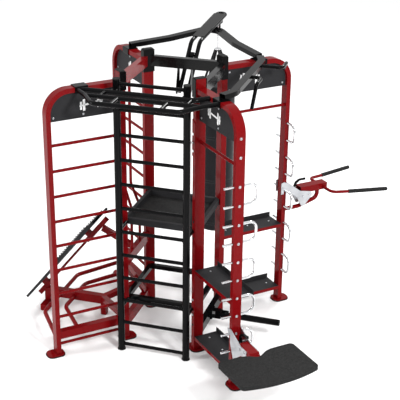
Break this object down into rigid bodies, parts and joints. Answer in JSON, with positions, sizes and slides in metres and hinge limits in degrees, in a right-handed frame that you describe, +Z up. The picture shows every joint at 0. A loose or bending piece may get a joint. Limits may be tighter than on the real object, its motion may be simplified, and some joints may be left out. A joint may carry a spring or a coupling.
{
  "type": "training rig",
  "caption": "Four-post training tower with four diagonal wings, climbing ladder, pull-up bars, punch bag, dip bars, step board, landmine and incline board.",
  "frame": {"origin": "centre of the rectangle of the tower's four floor anchor holes, on the floor", "axes": "+Z up, +X to the landmine side, +Y to the punch bag side"},
  "size_m": [3.0259, 3.1806, 2.515],
  "materials": {
    "red_paint": "glossy red enamel",
    "black_paint": "gloss black enamel",
    "dark_plate": "matte charcoal powder coat",
    "chrome": "polished",
    "bright_steel": "satin zinc",
    "rubber": "matte black rubber",
    "bag_vinyl": "semi-gloss black vinyl"
  },
  "bodies": {
    "frame": {"arch_handles": "black_paint", "arm_collars": "black_paint", "base_bars": "red_paint", "beam_bracket_plates": "black_paint", "boom_brackets": "black_paint", "boom_tubes": "black_paint", "d_handles": "chrome", "dip_arm": "red_paint", "dip_grips": "rubber", "dip_handles": "red_paint", "equipment_tray": "dark_plate", "face_bolts": "bright_steel", "foot_pads": "rubber", "foot_plates": "red_paint", "hook_plates": "bright_steel", "incline_board": "dark_plate", "incline_frame": "red_paint", "incline_rod": "red_paint", "incline_sleeves": "red_paint", "j_hook": "chrome", "j_hook_plate": "red_paint", "ladder_rungs": "black_paint", "ladder_ties": "black_paint", "ladder_uprights": "black_paint", "landmine_base": "black_paint", "left_side_rails": "red_paint", "lower_frame": "black_paint", "post_caps": "rubber", "pull_up_frame": "black_paint", "rear_arch": "black_paint", "right_arch_bar": "black_paint", "right_lower_rail": "black_paint", "shelf_rails": "red_paint", "shelves": "dark_plate", "sign_panels": "dark_plate", "step_arm": "red_paint", "step_board": "rubber", "storage_pegs": "chrome", "top_beams": "red_paint", "tower_post_front_left": "red_paint", "tower_post_front_right": "red_paint", "tower_post_rear_left": "red_paint", "tower_post_rear_right": "red_paint", "wing_cross_tubes": "red_paint", "wing_frame_front_left": "red_paint", "wing_frame_front_right": "red_paint", "wing_frame_rear_left": "red_paint", "wing_frame_rear_right": "red_paint", "wing_lower_beams": "red_paint", "wing_rungs_front_left": "red_paint", "wing_rungs_rear_left": "red_paint"},
    "shackle": {"bag_shackle": "chrome"},
    "bag": {"bag_hanger": "chrome", "bag_straps": "bag_vinyl", "punch_bag": "bag_vinyl"},
    "roller": {"boom_roller": "black_paint"},
    "landmine_yoke": {"landmine_yoke": "black_paint"},
    "landmine_arm": {"landmine_sleeve": "black_paint"},
    "dip_lever": {"dip_lock_lever": "black_paint"},
    "step_lever": {"step_lock_lever": "black_paint"}
  },
  "joints": [
    {"name": "bag_fore_aft", "type": "hinge", "parent": "frame", "child": "shackle", "pos_m": [0, 1.345, 2.405], "axis": [1, 0, 0], "range_deg": [-12, 12]},
    {"name": "bag_sideways", "type": "hinge", "parent": "shackle", "child": "bag", "pos_m": [0, 1.345, 2.372], "axis": [0, 1, 0], "range_deg": [-12, 12]},
    {"name": "roller_spin", "type": "hinge", "parent": "frame", "child": "roller", "pos_m": [0, 0.545, 2.347], "axis": [1, 0, 0], "continuous": true},
    {"name": "landmine_yaw", "type": "hinge", "parent": "frame", "child": "landmine_yoke", "pos_m": [0.425, 0, 0.19], "axis": [0, 0, 1], "range_deg": [-40, 40]},
    {"name": "landmine_pitch", "type": "hinge", "parent": "landmine_yoke", "child": "landmine_arm", "pos_m": [0.49, 0, 0.19], "axis": [0, -1, 0], "range_deg": [-5, 80]},
    {"name": "dip_lever_turn", "type": "hinge", "parent": "frame", "child": "dip_lever", "pos_m": [0.87689, 0.87689, 1.062], "axis": [0.7071, -0.7071, 0], "range_deg": [0, 35]},
    {"name": "step_lever_turn", "type": "hinge", "parent": "frame", "child": "step_lever", "pos_m": [0.84153, -0.84153, 0.452], "axis": [-0.7071, -0.7071, 0], "range_deg": [0, 35]}
  ]
}
